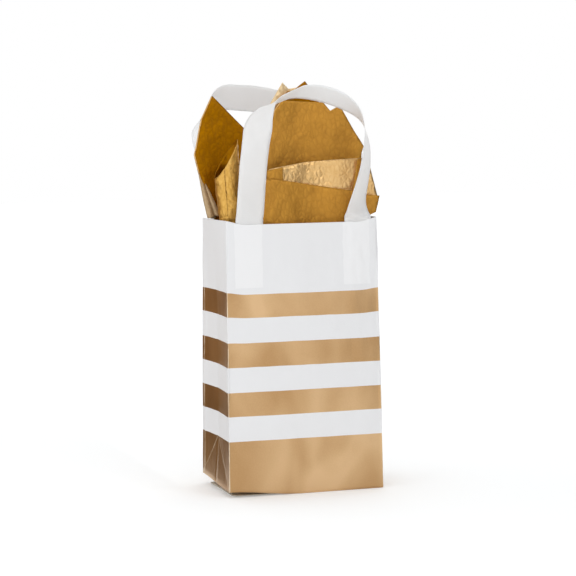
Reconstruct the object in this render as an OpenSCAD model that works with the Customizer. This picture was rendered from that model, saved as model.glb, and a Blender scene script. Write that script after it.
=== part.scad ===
// Small gusseted gift bag in film, with two soft loop handles, a base board
// and folded sheets of tissue paper standing in its mouth.
// Millimetres. +Z is up, +X runs across the front, +Y runs to the back.
// The origin is the middle of the underside, on the surface the bag stands on.

/* [Bag] */
// Width of the front and back panels at the base
bag_w = 127; // [100:1:200]
// Depth of the gussets at the base
bag_d = 76; // [60:1:120]
// Height from the base to the rim
bag_h = 214; // [160:1:320]
// How much narrower the mouth is than the base
mouth_w_drop = 4; // [0:0.5:8]
// How much shallower the mouth is than the base
mouth_d_drop = 9; // [0:0.5:12]
// Thickness of the film
film_t = 0.15; // [0.1:0.01:0.25]
// Inward depth of the crease down the middle of each gusset
crease_in = 2.5; // [0.5:0.1:4]
// Height of the hem that is turned down inside the rim
hem_depth = 56; // [30:1:80]
// Overlap of the two bottom flaps
flap_lap = 16; // [6:1:30]
// Width of the lap seam up the inside of the back panel
seam_w = 10; // [4:1:16]

/* [Handles] */
// Width of the handle strip
handle_w = 22; // [14:1:28]
// Thickness of the handle strip
handle_t = 0.3; // [0.2:0.05:0.6]
// Length of each end of the strip that is welded inside the rim
tab_len = 52; // [25:1:80]
// Distance from the strip's outer edge to the side of the mouth
handle_inset = 6.5; // [3:0.5:10]
// Height of the loop's top above the rim, along the loop
loop_h = 98; // [70:1:130]
// Outward lean of the front loop, in degrees
front_lean = 3; // [2:1:30]
// Outward lean of the back loop, in degrees
back_lean = 20; // [2:1:30]

/* [Base board] */
// Thickness of the board
board_t = 0.6; // [0.4:0.1:1.5]
// Clearance from the board to the panels and gussets
board_gap = 4; // [3:0.5:8]

/* [Tissue] */
// Thickness of one leaf of tissue
leaf_t = 0.12; // [0.08:0.02:0.3]
// Thickness of a folded sheet over both of its leaves
fold_t = 5; // [3:0.5:6]
// Depth that the tissue reaches below the rim
tuck = 110; // [60:1:130]
// Radius of the rolled sheet at its open top
roll_r = 11; // [8:0.5:12]

/* [Hidden] */

film_color = [0.95, 0.95, 0.96];
gusset_color = [0.86, 0.87, 0.9];
fold_color = [0.71, 0.56, 0.38];
handle_color = [0.98, 0.98, 0.99];
board_color = [0.8, 0.76, 0.68];
tissue_color = [0.72, 0.52, 0.2];
tissue_dark_color = [0.55, 0.37, 0.08];

// Play between sheets of film that lie edge to face inside the bag
film_gap = 0.02;
// Space between the rim and the free part of a handle, where it flexes
rim_gap = 0.7;
// Rings along each handle loop
loop_rings = 56;
// Radius of the rolled sheet at its foot
roll_foot_r = 7;
// Height above the rim of the middle of the rolled sheet's slanting lip
roll_rise = 47;
// Slant of that lip, which rises towards the middle of the bag
lip_slant = 57;
// Lean of the rolled sheet to the left
roll_lean = 4;

hem_z = bag_h - hem_depth;
floor_z = 3 * film_t;
mouth_half_w = half_w(bag_h);
mouth_half_d = half_d(bag_h);
// Height of the point where each gusset's crease splits into the bottom fold
apex_z = half_d(0);
// Middle of each handle leg, left and right of the bag's middle
leg_x = mouth_half_w - handle_inset - handle_w / 2;

// Stations along a loop, from its left end to its right end: place across the
// bag as a share of leg_x, rise as a share of loop_h, then how far the strip's
// width has turned about the vertical and how far its front edge is lifted.
front_stations = [
    [-0.97, 0.00, 0, 0], [-0.95, 0.08, 0, 0], [-0.90, 0.40, 0, 0], [-0.83, 0.65, -5, 0],
    [-0.76, 0.80, -45, 0], [-0.62, 0.90, -75, 5], [-0.46, 0.93, -98, 16],
    [-0.20, 0.98, -92, 22], [0.03, 1.00, -90, 30], [0.38, 0.98, -90, 34],
    [0.75, 0.92, -90, 30], [1.02, 0.83, -97, 15], [1.15, 0.72, -108, 0],
    [1.22, 0.57, -122, 0], [1.21, 0.40, -131, 0], [1.15, 0.25, -139, 0],
    [1.06, 0.10, -162, 0], [1.04, 0.00, -180, 0]
];
back_stations = [
    [-1.00, 0.00, 0, 0], [-1.02, 0.08, 0, 0], [-1.07, 0.35, -12, 0], [-1.15, 0.58, -30, 0],
    [-1.20, 0.78, -52, 8], [-1.08, 0.94, -80, 30], [-0.78, 1.03, -92, 46],
    [-0.40, 1.03, -90, 52], [0.00, 1.01, -90, 52], [0.42, 0.96, -92, 46],
    [0.82, 0.86, -100, 26], [1.06, 0.70, -122, 8], [1.12, 0.50, -146, 0],
    [1.05, 0.25, -168, 0], [1.00, 0.08, -180, 0], [1.00, 0.00, -180, 0]
];

// Outlines of the folded sheets: place across the bag as a share of half the
// mouth, and height above the rim. Each starts with the two ends of its foot.
back_left_outline = [
    [-0.72, -tuck], [-0.46, -tuck], [-0.42, 0], [-0.50, 69], [-0.94, 96],
    [-1.08, 78], [-1.18, 50], [-1.10, 32], [-0.93, 5]
];
main_outline = [
    [-0.30, -tuck], [0.55, -tuck], [0.90, 0], [0.96, 50], [0.99, 55], [0.84, 70],
    [0.71, 84], [0.65, 86], [0.56, 83], [0.47, 90], [0.13, 91], [-0.09, 92],
    [-0.20, 84], [-0.45, 36], [-0.50, 0]
];
front_fold_outline = [
    [-0.25, -tuck], [0.50, -tuck], [0.80, 0], [0.86, 44], [0.50, 43], [0.13, 41],
    [-0.35, 37], [-0.55, 30], [-0.55, 0]
];
right_outline = [
    [0.55, -tuck], [0.72, -tuck], [0.96, 0], [1.08, 3], [1.12, 16], [1.02, 40], [0.88, 24],
    [0.72, 0]
];
back_peaks_outline = [
    [-0.10, -tuck], [0.35, -tuck], [0.40, 0], [0.45, 95], [0.31, 104], [0.27, 107],
    [0.18, 103], [0.06, 101], [-0.03, 106], [-0.20, 90], [-0.30, 0]
];

// ---- Sizes that change with height -------------------------------------

// Half the bag's outer width at height z
function half_w(z) = (bag_w - mouth_w_drop * z / bag_h) / 2;

// Half the bag's outer depth at height z
function half_d(z) = (bag_d - mouth_d_drop * z / bag_h) / 2;

// Distance of a gusset's outer face from the bag's middle, where y is the
// distance from the crease and z is above the bottom fold
function gusset_x(y, z) =
    half_w(z) - crease_in * (half_d(z) - film_t - abs(y)) / (half_d(0) - film_t);

// ---- Sheets of film -----------------------------------------------------

// A closed sheet: faces run clockwise seen from outside, edge is their common
// border in the same sense, and inward is the way through the film.
module film(points, faces, edge, inward) {
    n = len(points);
    back_faces = [for (f = faces) [for (i = [len(f) - 1:-1:0]) f[i] + n]];
    sides = [
        for (i = [0:len(edge) - 1])
            let (a = edge[i], b = edge[(i + 1) % len(edge)])
                [b, a, a + n, b + n]
    ];
    polyhedron(
        points = concat(points, [for (p = points) p + inward]),
        faces = concat(faces, back_faces, sides)
    );
}

// A four-sided sheet in the plane of the front panel, set back behind its
// outer face, between two heights and two distances from the bag's middle
module front_sheet(set_back, thickness, z0, z1, x0, x1, x2, x3) {
    film(
        points = [
            [x0, set_back - half_d(z0), z0], [x1, set_back - half_d(z1), z1],
            [x2, set_back - half_d(z1), z1], [x3, set_back - half_d(z0), z0]
        ],
        faces = [[0, 1, 2, 3]],
        edge = [0, 1, 2, 3],
        inward = [0, thickness, 0]
    );
}

module wide_panel() {
    front_sheet(0, film_t, 0, bag_h,
        -half_w(0), -mouth_half_w, mouth_half_w, half_w(0));
}

module wide_hem() {
    low_x = half_w(hem_z) - film_t - film_gap;
    high_x = mouth_half_w - film_t - film_gap;
    front_sheet(film_t, film_t, hem_z, bag_h, -low_x, -high_x, high_x, low_x);
}

module handle_tab(x) {
    front_sheet(2 * film_t, handle_t, bag_h - tab_len, bag_h,
        x - handle_w / 2, x - handle_w / 2, x + handle_w / 2, x + handle_w / 2);
}

// One side of the bag, with its middle crease and the triangle of its bottom fold
module gusset() {
    edge_low = half_d(0) - film_t;
    edge_apex = half_d(apex_z) - film_t;
    edge_top = mouth_half_d - film_t;
    film(
        points = [
            [-half_w(0), edge_low, 0],
            [-half_w(apex_z), edge_apex, apex_z],
            [-mouth_half_w, edge_top, bag_h],
            [-gusset_x(0, bag_h), 0, bag_h],
            [-mouth_half_w, -edge_top, bag_h],
            [-half_w(apex_z), -edge_apex, apex_z],
            [-half_w(0), -edge_low, 0],
            [-gusset_x(0, apex_z), 0, apex_z]
        ],
        faces = [[0, 7, 6], [0, 1, 7], [6, 7, 5], [1, 2, 3, 7], [7, 3, 4, 5]],
        edge = [0, 1, 2, 3, 4, 5, 6],
        inward = [film_t, 0, 0]
    );
}

module side_hem() {
    low_y = half_d(hem_z) - 2 * film_t - film_gap;
    high_y = mouth_half_d - 2 * film_t - film_gap;
    film(
        points = [
            [film_t - gusset_x(low_y, hem_z), low_y, hem_z],
            [film_t - gusset_x(high_y, bag_h), high_y, bag_h],
            [film_t - gusset_x(0, bag_h), 0, bag_h],
            [film_t - gusset_x(high_y, bag_h), -high_y, bag_h],
            [film_t - gusset_x(low_y, hem_z), -low_y, hem_z],
            [film_t - gusset_x(0, hem_z), 0, hem_z]
        ],
        faces = [[0, 1, 2, 5], [5, 2, 3, 4]],
        edge = [0, 1, 2, 3, 4, 5],
        inward = [film_t, 0, 0]
    );
}

// The triangle of a gusset that is folded in over the bottom flaps
module bottom_ear() {
    side_x = half_w(0) - film_t - crease_in * floor_z / apex_z - film_gap;
    side_y = half_d(floor_z) - film_t - film_gap;
    translate([0, 0, 2 * film_t])
        linear_extrude(film_t)
            polygon([[-side_x, -side_y], [side_y - side_x, 0], [-side_x, side_y]]);
}

// A bottom flap folded in from the front panel, one layer of film thick
module bottom_flap(layer) {
    x = half_w(0) - film_t - film_gap - crease_in * (layer + 1) * film_t / apex_z;
    y = half_d((layer + 1) * film_t) - film_t;
    translate([-x, -y, layer * film_t])
        cube([2 * x, y + flap_lap / 2, film_t]);
}

// ---- Handles ------------------------------------------------------------

// Point on a smooth curve through four neighbouring stations
function blend4(a, b, c, d, t) =
    0.5 * (2 * b + (c - a) * t + (2 * a - 5 * b + 4 * c - d) * t * t
        + (3 * b - a - 3 * c + d) * t * t * t);

// Station at share u of the way along a list of stations
function station(list, u) =
    let (
        last = len(list) - 1,
        i = min(floor(u * last), last - 1),
        t = u * last - i
    )
    blend4(list[max(i - 1, 0)], list[i], list[i + 1], list[min(i + 2, last)], t);

// Middle of the strip at a station, from the middle of the rim
function strip_middle(s) = [s[0] * leg_x, 0, rim_gap + s[1] * (loop_h - rim_gap)];

// Direction across the strip at a station
function strip_across(s) =
    [cos(s[2]) * cos(s[3]), sin(s[2]) * cos(s[3]), sin(s[3])];

function unit(v) = v / norm(v);

// The four corners of the strip's section at share u along it
function strip_ring(list, u) =
    let (
        step = 0.5 / loop_rings,
        ahead = strip_middle(station(list, min(u + step, 1))),
        behind = strip_middle(station(list, max(u - step, 0))),
        s = station(list, u),
        along = (u <= 0 || u >= 1) ? [0, 0, ahead[2] > behind[2] ? 1 : -1] : ahead - behind,
        across = strip_across(s),
        w = across * handle_w / 2,
        t = unit(cross(along, across)) * handle_t / 2,
        m = strip_middle(s)
    )
    [m - w - t, m + w - t, m + w + t, m - w + t];

// A loop of strip, standing on the middle of its two legs' feet
module strip_loop(list) {
    rings = [for (i = [0:loop_rings]) strip_ring(list, i / loop_rings)];
    last = 4 * loop_rings;
    skin = [
        for (i = [0:loop_rings - 1])
            let (a = 4 * i, b = a + 4)
                each [
                    [a, b + 1, a + 1], [a, b, b + 1],
                    [a + 1, b + 2, a + 2], [a + 1, b + 1, b + 2],
                    [a + 2, b + 2, a + 3], [a + 3, b + 2, b + 3],
                    [a + 3, b, a], [a + 3, b + 3, b]
                ]
    ];
    polyhedron(
        points = [for (ring = rings) each ring],
        faces = concat(skin, [[0, 1, 2, 3]], [[last + 3, last + 2, last + 1, last]])
    );
}

// ---- Tissue -------------------------------------------------------------

// A sheet folded double, with its fold at its foot and its outline upright
module folded_sheet(y_share, outline) {
    corners = [for (p = outline) [p[0] * mouth_half_w, bag_h + p[1]]];
    y = y_share * mouth_half_d;
    for (side = [-1, 1])
        translate([0, y + side * (fold_t - leaf_t) / 2, 0])
            rotate([90, 0, 0])
                linear_extrude(leaf_t, center = true)
                    polygon(corners);
    translate([corners[0][0], y - fold_t / 2, corners[0][1]])
        cube([corners[1][0] - corners[0][0], fold_t, leaf_t]);
}

// ---- The bag ------------------------------------------------------------

module front_panel() {
    color(film_color) wide_panel();
}

module back_panel() {
    color(film_color) mirror([0, 1, 0]) wide_panel();
}

module back_seam() {
    x = seam_w / 2;
    color(film_color)
        mirror([0, 1, 0])
            front_sheet(film_t, film_t, floor_z, hem_z - film_gap, -x, -x, x, x);
}

module left_gusset() {
    color(gusset_color) gusset();
}

module right_gusset() {
    color(gusset_color) mirror([1, 0, 0]) gusset();
}

module left_bottom_ear() {
    color(fold_color) bottom_ear();
}

module right_bottom_ear() {
    color(fold_color) mirror([1, 0, 0]) bottom_ear();
}

module back_bottom_flap() {
    color(fold_color) mirror([0, 1, 0]) bottom_flap(1);
}

module front_bottom_flap() {
    color(fold_color) bottom_flap(0);
}

module front_hem() {
    color(film_color) wide_hem();
}

module back_hem() {
    color(film_color) mirror([0, 1, 0]) wide_hem();
}

module left_hem() {
    color(gusset_color) side_hem();
}

module right_hem() {
    color(gusset_color) mirror([1, 0, 0]) side_hem();
}

module front_left_handle_tab() {
    color(handle_color) handle_tab(front_stations[0][0] * leg_x);
}

module front_right_handle_tab() {
    color(handle_color) handle_tab(front_stations[len(front_stations) - 1][0] * leg_x);
}

module back_left_handle_tab() {
    color(handle_color) mirror([0, 1, 0]) handle_tab(-leg_x);
}

module back_right_handle_tab() {
    color(handle_color) mirror([0, 1, 0]) handle_tab(leg_x);
}

// The loop leans about the folded rim, a film's thickness inside the panel
module front_handle_loop() {
    rim_y = film_t - mouth_half_d;
    color(handle_color)
        translate([0, rim_y, bag_h])
            rotate([front_lean, 0, 0])
                translate([0, film_t + handle_t / 2, 0])
                    strip_loop(front_stations);
}

module back_handle_loop() {
    rim_y = mouth_half_d - film_t;
    color(handle_color)
        translate([0, rim_y, bag_h])
            rotate([-back_lean, 0, 0])
                translate([0, -film_t - handle_t / 2, 0])
                    strip_loop(back_stations);
}

module base_board() {
    x = half_w(0) - film_t - board_gap;
    y = half_d(0) - film_t - board_gap;
    color(board_color)
        translate([-x, -y, floor_z])
            cube([2 * x, 2 * y, board_t]);
}

module tissue_back_left() {
    color(tissue_dark_color) folded_sheet(0.48, back_left_outline);
}

// A sheet rolled into a cone that opens upwards and leans to the left
module tissue_left_roll() {
    foot = [-0.68 * mouth_half_w, -0.32 * mouth_half_d, bag_h - tuck];
    lip_z = tuck + roll_rise;
    length = lip_z + roll_r * tan(lip_slant) + 1;
    color(tissue_color)
        translate(foot)
            rotate([0, -roll_lean, 0])
                difference() {
                    cylinder(h = length, r1 = roll_foot_r, r2 = roll_r, $fn = 48);
                    translate([0, 0, -leaf_t])
                        cylinder(h = length + 2 * leaf_t, r1 = roll_foot_r - leaf_t,
                            r2 = roll_r - leaf_t, $fn = 48);
                    translate([0, 0, lip_z])
                        rotate([0, -lip_slant, 0])
                            translate([-length, -length, 0])
                                cube(2 * length);
                }
}

module tissue_main() {
    color(tissue_color) folded_sheet(-0.18, main_outline);
}

module tissue_front_fold() {
    color(tissue_color) folded_sheet(-0.68, front_fold_outline);
}

module tissue_right() {
    color(tissue_color) folded_sheet(-0.49, right_outline);
}

module tissue_back_peaks() {
    color(tissue_dark_color) folded_sheet(0.12, back_peaks_outline);
}

front_panel();
back_panel();
back_seam();
left_gusset();
right_gusset();
left_bottom_ear();
right_bottom_ear();
back_bottom_flap();
front_bottom_flap();
front_hem();
back_hem();
left_hem();
right_hem();
front_left_handle_tab();
front_right_handle_tab();
back_left_handle_tab();
back_right_handle_tab();
front_handle_loop();
back_handle_loop();
base_board();
tissue_back_left();
tissue_left_roll();
tissue_main();
tissue_front_fold();
tissue_right();
tissue_back_peaks();
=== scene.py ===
"""Gold-striped gift bag: film shell, strip handles, base board and tissue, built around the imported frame."""

import math
import random

import bmesh
import bpy
from mathutils import Matrix, Vector, geometry, noise


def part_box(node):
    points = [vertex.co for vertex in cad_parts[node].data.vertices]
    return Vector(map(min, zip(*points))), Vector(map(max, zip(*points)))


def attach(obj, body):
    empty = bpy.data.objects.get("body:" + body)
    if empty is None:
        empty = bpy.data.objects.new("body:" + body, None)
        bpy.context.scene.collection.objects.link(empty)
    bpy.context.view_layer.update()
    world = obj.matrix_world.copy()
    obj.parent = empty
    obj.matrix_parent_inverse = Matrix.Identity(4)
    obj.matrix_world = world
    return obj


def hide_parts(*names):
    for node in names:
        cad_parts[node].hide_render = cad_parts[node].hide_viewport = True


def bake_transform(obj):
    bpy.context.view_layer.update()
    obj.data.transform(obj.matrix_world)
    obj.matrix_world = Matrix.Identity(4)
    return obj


MM = 0.001
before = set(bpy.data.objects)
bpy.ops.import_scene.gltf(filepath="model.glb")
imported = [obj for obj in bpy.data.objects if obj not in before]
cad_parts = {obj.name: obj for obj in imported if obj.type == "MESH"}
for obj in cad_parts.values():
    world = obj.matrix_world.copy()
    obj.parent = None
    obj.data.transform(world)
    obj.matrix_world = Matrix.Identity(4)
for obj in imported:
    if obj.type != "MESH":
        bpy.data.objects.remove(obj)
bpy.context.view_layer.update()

# ---- Sizes read from the frame ------------------------------------------------


def node_points(node):
    """The vertices of a CAD node."""
    return [v.co.copy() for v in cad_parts[node].data.vertices]


def width_at_top(node):
    """Half the width of a CAD node along its top edge."""
    points = node_points(node)
    top = max(p.z for p in points)
    return max(abs(p.x) for p in points if p.z > top - MM)


panel_low, panel_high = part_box("front_panel")
hem_low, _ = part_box("front_hem")
tab_low, tab_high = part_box("front_left_handle_tab")
board_low, board_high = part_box("base_board")

# Thicknesses of the film and the handle strip, as in the CAD: its walls lean, so their boxes don't give them
FILM = 0.15 * MM
HANDLE_T = 0.3 * MM

BAG_H = panel_high.z
BASE_W = panel_high.x
BASE_D = -panel_low.y
MOUTH_W = width_at_top("front_panel")
MOUTH_D = -max(p.y for p in node_points("front_panel")) + FILM
HEM_Z = hem_low.z
TAB_Z = tab_low.z
HANDLE_W = tab_high.x - tab_low.x
LEG_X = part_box("back_right_handle_tab")[1].x - HANDLE_W / 2
TUCK = BAG_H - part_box("tissue_main")[0].z

# ---- Print and creases of the film --------------------------------------------

# Gold bands of the print, as heights on the bag
PRINT_BANDS = (
    (0.0, 43.6 * MM), (62.9 * MM, 81.6 * MM), (100.9 * MM, 120.0 * MM), (140.0 * MM, 158.8 * MM),
)
CREASE_IN = 2.5 * MM
CORNER_R = 0.9 * MM
APEX_Z = BASE_D
RAISED_FRONT_LEFT = 4.4 * MM
RAISED_BACK_LEFT = 8.1 * MM
RAISED_REACH = 60 * MM
RIM_DIP = 3.3 * MM
# A fold down the gusset near the bag's back, as a share of half its depth
BACK_FOLD = 0.84

# ---- Colours, linear -----------------------------------------------------------

WHITE_FILM = (0.785, 0.785, 0.795)
WHITE_HAZE = (0.82, 0.825, 0.84)
WHITE_CREASE = (0.85, 0.85, 0.86)
SEE_THROUGH = (0.845, 0.843, 0.85)
# The print's gold, its dark and light ends spread wide so that its blotches also stand in for satin
# highlights, as painted highlight
GOLD_PRINT = (0.68, 0.45, 0.24)
GOLD_PRINT_DARK = (0.48, 0.28, 0.122)
GOLD_CREASE = (0.82, 0.70, 0.53)
GOLD_RUBBED = (0.72, 0.60, 0.42)
FILM_INNER = (0.66, 0.65, 0.64)
FILM_INNER_HAZE = (0.60, 0.59, 0.59)
FILM_INNER_GOLD = (0.42, 0.33, 0.22)
FILM_INNER_GOLD_HAZE = (0.36, 0.28, 0.18)
HANDLE_WHITE = (0.835, 0.845, 0.85)
HANDLE_HAZE = (0.88, 0.89, 0.895)
# Colours of the tissue's sides, each as its lit tone and its darker tone in the creases, a painted shade
TISSUE_BRIGHT = ((0.85, 0.57, 0.26), (0.66, 0.39, 0.14))
TISSUE_ROLL = ((0.86, 0.52, 0.14), (0.58, 0.30, 0.045))
TISSUE_AMBER = ((0.61, 0.305, 0.046), (0.43, 0.195, 0.026))
# The amber side again but darker, a painted shade for sheets lying in shade
TISSUE_AMBER_SHADED = ((0.44, 0.18, 0.0002), (0.27, 0.102, 0.0001))
TISSUE_PALE = ((0.60, 0.44, 0.27), (0.42, 0.29, 0.15))
# A light cream gold, a painted highlight on the peaks' sliver
TISSUE_HIGHLIGHT_GOLD = ((0.95, 0.76, 0.48), (0.78, 0.55, 0.28))
BOARD_GREY = (0.62, 0.58, 0.50)
BOARD_FIBRE = (0.54, 0.50, 0.43)
BOARD_FLECK = (0.30, 0.26, 0.21)
FLOOR_WHITE = (0.93, 0.93, 0.93)
FLOOR_GLOW = (0.88, 0.96, 1)
FLOOR_GLOW_STRENGTH = 0.16

# ---- Node helpers ---------------------------------------------------------------


class Shader:
    """One material, with short calls for the nodes that every material here uses."""

    def __init__(self, name, **values):
        self.material = bpy.data.materials.new(name)
        self.material.use_nodes = True
        self.tree = self.material.node_tree
        self.bsdf = self.tree.nodes["Principled BSDF"]
        self.coords = self.node("ShaderNodeTexCoord").outputs["Object"]
        for socket, value in values.items():
            self.bsdf.inputs[socket.replace("_", " ")].default_value = value

    def node(self, kind, inputs=None, **settings):
        made = self.tree.nodes.new(kind)
        for name, value in settings.items():
            setattr(made, name, value)
        for name, value in (inputs or {}).items():
            if isinstance(value, bpy.types.NodeSocket):
                self.tree.links.new(value, made.inputs[name])
            else:
                made.inputs[name].default_value = value
        return made

    def math(self, operation, a, b=0.0, c=0.0, clamp=False):
        made = self.node("ShaderNodeMath", {0: a, 1: b, 2: c}, operation=operation, use_clamp=clamp)
        return made.outputs[0]

    def stretched(self, stretch):
        return self.node("ShaderNodeMapping", {"Vector": self.coords, "Scale": stretch}).outputs[0]

    def noise(self, scale, detail=3.0, stretch=(1, 1, 1), distortion=0.0):
        """Noise with features of 1/scale metres."""
        return self.node(
            "ShaderNodeTexNoise",
            {"Vector": self.stretched(stretch), "Scale": scale, "Detail": detail, "Distortion": distortion},
        ).outputs["Fac"]

    def cells(self, scale, stretch=(1, 1, 1), feature="F1"):
        """Distance inside crumple facets of 1/scale metres."""
        return self.node(
            "ShaderNodeTexVoronoi", {"Vector": self.stretched(stretch), "Scale": scale}, feature=feature
        ).outputs["Distance"]

    def spread(self, value, low, high, to_low=0.0, to_high=1.0):
        """value from low..high to to_low..to_high, held at both ends."""
        return self.node(
            "ShaderNodeMapRange",
            {"Value": value, "From Min": low, "From Max": high, "To Min": to_low, "To Max": to_high},
        ).outputs[0]

    def mix(self, share, a, b):
        """Colour a to colour b."""
        made = self.node("ShaderNodeMix", data_type="RGBA")
        for socket, value in zip((made.inputs[0], made.inputs[6], made.inputs[7]), (share, a, b)):
            if isinstance(value, bpy.types.NodeSocket):
                self.tree.links.new(value, socket)
            else:
                socket.default_value = (*value, 1.0) if hasattr(value, "__len__") else value
        return made.outputs[2]

    def bump(self, height, distance, under=None):
        inputs = {"Height": height, "Distance": distance, "Strength": 1.0}
        if under is not None:
            inputs["Normal"] = under
        return self.node("ShaderNodeBump", inputs).outputs[0]

    def set(self, **links):
        for socket, value in links.items():
            self.tree.links.new(value, self.bsdf.inputs[socket.replace("_", " ")])
        return self.material


def print_mask(s):
    """1 where the film is printed gold: bands of height, with slightly wavy edges."""
    film_place = s.node("ShaderNodeUVMap", uv_map="film").outputs[0]
    height = s.node("ShaderNodeSeparateXYZ", {0: film_place}).outputs[1]
    wander = s.spread(s.noise(60.0, 2.0), 0.3, 0.7, -0.12 * MM, 0.12 * MM)
    height = s.math("ADD", height, wander)
    mask = None
    for low, high in PRINT_BANDS:
        above = s.spread(height, low - 0.1 * MM, low + 0.1 * MM)
        below = s.spread(height, high - 0.1 * MM, high + 0.1 * MM, 1.0, 0.0)
        band = s.math("MULTIPLY", above, below)
        mask = band if mask is None else s.math("ADD", mask, band, clamp=True)
    return mask


def tab_mask(s):
    """1 where a handle's end, welded inside the mouth, shows through the front and back."""
    x, y, z = s.node("ShaderNodeSeparateXYZ", {0: s.coords}).outputs[:3]
    wander = s.spread(s.noise(90.0, 1.0), 0.3, 0.7, -0.4 * MM, 0.4 * MM)
    off = s.math("ABSOLUTE", s.math("SUBTRACT", s.math("ABSOLUTE", x), LEG_X))
    off = s.math("ADD", off, wander)
    across = s.spread(off, HANDLE_W / 2 - 0.3 * MM, HANDLE_W / 2 + 0.3 * MM, 1.0, 0.0)
    up = s.spread(z, TAB_Z - 0.4 * MM, TAB_Z + 0.4 * MM)
    wide_side = s.spread(s.math("ABSOLUTE", y), MOUTH_D - 3 * MM, MOUTH_D - 2 * MM)
    return s.math("MULTIPLY", s.math("MULTIPLY", across, up), wide_side)


def crease_mask(s):
    """1 along the film's creases, which are drawn lighter: its corners, the bottom fold's triangle and a fold
    by the back.
    """
    x, y, z = s.node("ShaderNodeSeparateXYZ", {0: s.coords}).outputs[:3]
    wide, deep = s.math("ABSOLUTE", x), s.math("ABSOLUTE", y)
    to_side = s.math("SUBTRACT", wide, s.math("MULTIPLY_ADD", z, (MOUTH_W - BASE_W) / BAG_H, BASE_W))
    to_face = s.math("SUBTRACT", deep, s.math("MULTIPLY_ADD", z, (MOUTH_D - BASE_D) / BAG_H, BASE_D))
    by_side, by_face = (s.spread(d, -0.8 * MM, -0.4 * MM) for d in (to_side, to_face))
    corner = s.math("MULTIPLY", by_side, by_face)
    near_side = s.spread(to_side, -5.5 * MM, -5.0 * MM)
    off_face = s.spread(to_face, -1.2 * MM, -0.8 * MM, 1.0, 0.0)
    on_side = s.math("MULTIPLY", near_side, off_face)
    left = s.spread(x, -1 * MM, 1 * MM, 1.0, 0.0)
    slope = (RAISED_BACK_LEFT - RAISED_FRONT_LEFT) / (2 * BASE_D)
    raised = s.math("MULTIPLY_ADD", y, slope, (RAISED_BACK_LEFT + RAISED_FRONT_LEFT) / 2)
    fold_z = s.math("SUBTRACT", z, s.math("MULTIPLY", left, raised))
    from_corner = s.math("SUBTRACT", 1.0, s.math("DIVIDE", deep, BASE_D))
    edge = s.math("SUBTRACT", from_corner, s.math("DIVIDE", fold_z, APEX_Z))
    slant = s.spread(s.math("ABSOLUTE", edge), 0.008, 0.022, 1.0, 0.0)
    by_middle = s.spread(deep, 0.2 * MM, 0.55 * MM, 1.0, 0.0)
    below_apex = s.spread(fold_z, APEX_Z - MM, APEX_Z, 1.0, 0.0)
    middle = s.math("MULTIPLY", by_middle, below_apex)
    back_share = s.math("DIVIDE", y, s.math("SUBTRACT", deep, to_face))
    by_back = s.spread(s.math("ABSOLUTE", s.math("SUBTRACT", back_share, BACK_FOLD)), 0.02, 0.045, 1.0, 0.0)
    folds = s.math("MAXIMUM", s.math("MAXIMUM", slant, middle), by_back)
    patchy = s.spread(s.noise(140.0, 3.0), 0.35, 0.6, 0.35, 1.0)
    return s.math("MULTIPLY", s.math("MAXIMUM", s.math("MULTIPLY", folds, on_side), corner), patchy)


def film_material():
    """Frosted white film with satin metallic gold bands."""
    s = Shader("printed_film", IOR=1.46, Coat_Weight=0.12, Coat_Roughness=0.35)
    mask = print_mask(s)
    # Blotchy tone of the print, partly a painted highlight standing in for the gold's soft satin sheen
    blotch = s.spread(s.noise(21.0, 2.0, (1, 1, 0.6), 0.6), 0.34, 0.66)
    fine = s.spread(s.noise(900.0, 2.0), 0.35, 0.65, 0.0, 0.10)
    gold = s.mix(s.math("ADD", blotch, fine, clamp=True), GOLD_PRINT_DARK, GOLD_PRINT)
    white = s.mix(tab_mask(s), WHITE_FILM, SEE_THROUGH)
    haze = s.spread(s.noise(30.0, 3.0, (1, 1, 0.4)), 0.3, 0.7)
    white = s.mix(s.math("MULTIPLY", haze, 0.35), white, WHITE_HAZE)
    skin = s.spread(s.noise(1400.0, 2.0), 0.0, 1.0)
    slack = s.noise(55.0, 3.0, (1, 1, 0.35))
    crease = crease_mask(s)
    gold = s.mix(crease, gold, GOLD_CREASE)
    white = s.mix(s.math("MULTIPLY", crease, 0.6), white, WHITE_CREASE)
    normal = s.bump(crease, 0.15 * MM, s.bump(skin, 0.012 * MM, s.bump(slack, 0.5 * MM)))
    return s.set(
        Base_Color=s.mix(mask, white, gold),
        Metallic=s.math("MULTIPLY", mask, s.spread(crease, 0.0, 1.0, 0.94, 0.45)),
        Roughness=s.spread(mask, 0.0, 1.0, 0.42, 0.33),
        Normal=normal,
    )


def film_inner_material():
    """The unprinted side of the film, where the bands show through dull."""
    s = Shader("film_inner", Roughness=0.5, IOR=1.46)
    haze = s.spread(s.noise(40.0, 3.0, (1, 1, 0.4)), 0.3, 0.7)
    gold = s.mix(haze, FILM_INNER_GOLD, FILM_INNER_GOLD_HAZE)
    return s.set(
        Base_Color=s.mix(print_mask(s), s.mix(haze, FILM_INNER, FILM_INNER_HAZE), gold),
        Normal=s.bump(s.noise(60.0, 3.0, (1, 1, 0.35)), 0.4 * MM),
    )


def folded_gold_material():
    """The printed film of the folded bottom, with rubbed creases."""
    s = Shader("gold_film", IOR=1.46)
    blotch = s.spread(s.noise(22.0, 3.0), 0.3, 0.7)
    rubbed = s.spread(s.noise(240.0, 5.0), 0.62, 0.72)
    gold = s.mix(blotch, GOLD_PRINT_DARK, GOLD_PRINT)
    return s.set(
        Base_Color=s.mix(s.math("MULTIPLY", rubbed, 0.4), gold, GOLD_RUBBED),
        Metallic=s.spread(rubbed, 0.0, 1.0, 0.85, 0.4),
        Roughness=s.spread(blotch, 0.0, 1.0, 0.34, 0.46),
        Normal=s.bump(s.noise(70.0, 3.0), 0.4 * MM),
    )


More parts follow.
